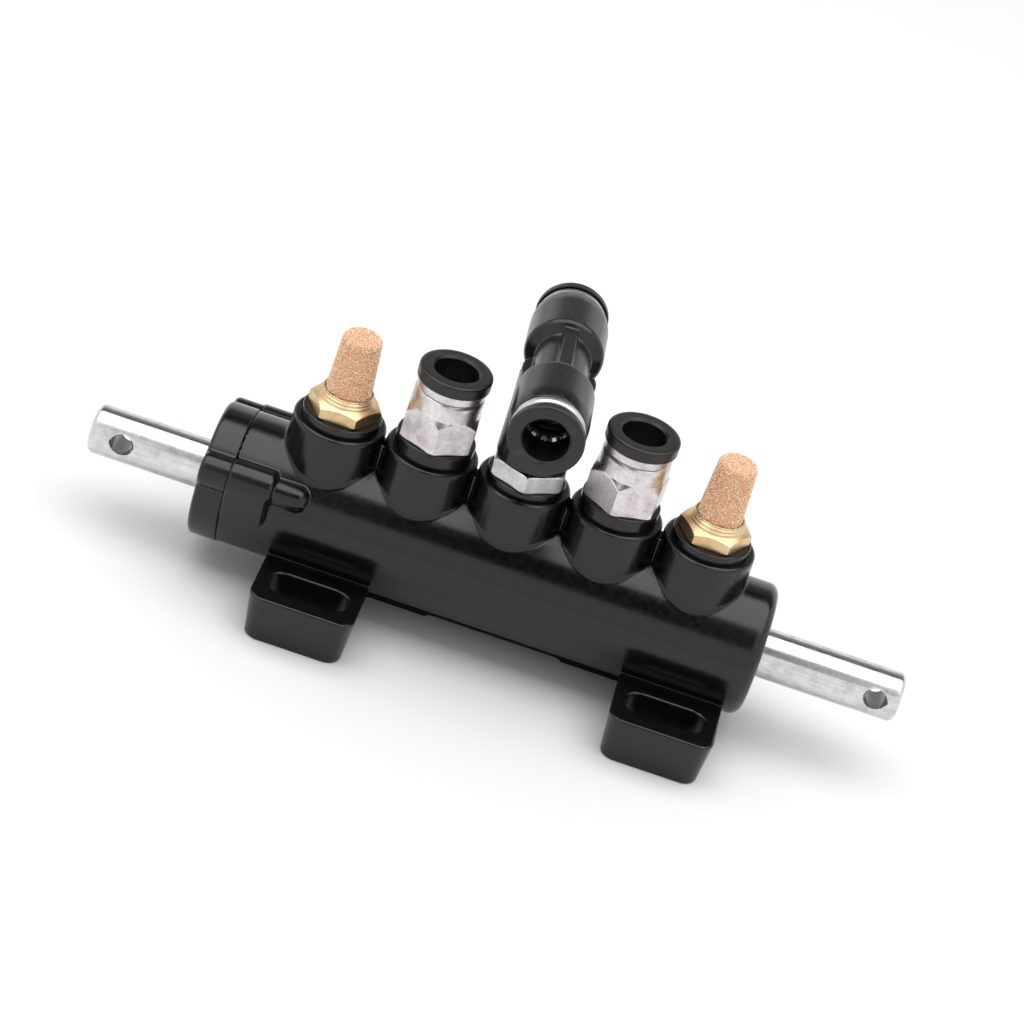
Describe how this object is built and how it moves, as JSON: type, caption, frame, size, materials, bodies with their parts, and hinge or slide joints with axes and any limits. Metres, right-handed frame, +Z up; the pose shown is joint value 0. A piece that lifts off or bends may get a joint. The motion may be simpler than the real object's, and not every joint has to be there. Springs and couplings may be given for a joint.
{
  "type": "foot pedal valve",
  "caption": "Spool valve for a foot pedal: black barrel with a row of port bosses, push-in fittings, silencers, a swivel tee and slotted feet.",
  "frame": {"origin": "midway between the two foot slots, on the plane that the feet stand on", "axes": "+X along the spool away from the screwed end cap, +Z up out of the ports, -Y towards the slotted side of the feet"},
  "size_m": [0.1599, 0.0496, 0.067],
  "materials": {
    "black_body": "glossy moulded black nylon",
    "black_cap": "glossy moulded black nylon",
    "ring_nylon": "black nylon washer",
    "cage_plastic": "natural acetal",
    "collar_plastic": "black acetal, satin",
    "tee_plastic": "black moulded plastic, satin gloss",
    "spool_metal": "fine turned, bright",
    "nickel_plate": "nickel plated brass",
    "bright_sleeve": "bright plated ring",
    "brass": "machined brass",
    "sintered_bronze": "sintered bronze grains",
    "spring_steel": "spring steel strip",
    "zinc_steel": "zinc plated steel",
    "seal_rubber": "nitrile rubber"
  },
  "bodies": {
    "valve": {"valve_body": "black_body", "end_cap": "black_cap", "cap_screws": "zinc_steel", "spool_seal_1": "seal_rubber", "spool_seal_2": "seal_rubber", "spool_seal_3": "seal_rubber", "spool_seal_4": "seal_rubber", "spool_seal_5": "seal_rubber", "spool_seal_6": "seal_rubber", "spacer_cage_1": "cage_plastic", "spacer_cage_2": "cage_plastic", "spacer_cage_3": "cage_plastic", "spacer_cage_4": "cage_plastic", "spacer_cage_5": "cage_plastic", "port_seal_1": "ring_nylon", "port_seal_2": "ring_nylon", "port_seal_3": "ring_nylon", "port_seal_4": "ring_nylon", "port_seal_5": "ring_nylon", "silencer_base_left": "brass", "silencer_element_left": "sintered_bronze", "silencer_base_right": "brass", "silencer_element_right": "sintered_bronze", "fitting_body_left": "nickel_plate", "fitting_left_sleeve": "bright_sleeve", "fitting_left_grab_ring": "spring_steel", "fitting_left_tube_seal": "seal_rubber", "fitting_body_right": "nickel_plate", "fitting_right_sleeve": "bright_sleeve", "fitting_right_grab_ring": "spring_steel", "fitting_right_tube_seal": "seal_rubber", "tee_stem": "nickel_plate", "tee_stem_seal": "seal_rubber"},
    "spool": {"spool": "spool_metal"},
    "tee": {"tee_body": "tee_plastic", "tee_near_sleeve": "bright_sleeve", "tee_near_grab_ring": "spring_steel", "tee_near_tube_seal": "seal_rubber", "tee_far_sleeve": "bright_sleeve", "tee_far_grab_ring": "spring_steel", "tee_far_tube_seal": "seal_rubber"},
    "collar_left": {"fitting_left_release_collar": "collar_plastic"},
    "collar_right": {"fitting_right_release_collar": "collar_plastic"},
    "collar_tee_near": {"tee_near_release_collar": "collar_plastic"},
    "collar_tee_far": {"tee_far_release_collar": "collar_plastic"}
  },
  "joints": [
    {"name": "spool_stroke", "type": "slide", "parent": "valve", "child": "spool", "axis": [1, 0, 0], "range_m": [-0.008, 0.008]},
    {"name": "tee_swivel", "type": "hinge", "parent": "valve", "child": "tee", "pos_m": [-0.00343, 0.01825, 0.0365], "axis": [0, 0, 1], "range_deg": [-35, 35]},
    {"name": "collar_left_push", "type": "slide", "parent": "valve", "child": "collar_left", "axis": [0, 0, -1], "range_m": [0, 0.001], "stiffness_N_per_m": 1000, "springref_m": -0.0005},
    {"name": "collar_right_push", "type": "slide", "parent": "valve", "child": "collar_right", "axis": [0, 0, -1], "range_m": [0, 0.001], "stiffness_N_per_m": 1000, "springref_m": -0.0005},
    {"name": "collar_tee_near_push", "type": "slide", "parent": "tee", "child": "collar_tee_near", "axis": [-0.0715, 0.9974, 0], "range_m": [0, 0.001], "stiffness_N_per_m": 1000, "springref_m": -0.0005},
    {"name": "collar_tee_far_push", "type": "slide", "parent": "tee", "child": "collar_tee_far", "axis": [0.0715, -0.9974, 0], "range_m": [0, 0.001], "stiffness_N_per_m": 1000, "springref_m": -0.0005}
  ]
}
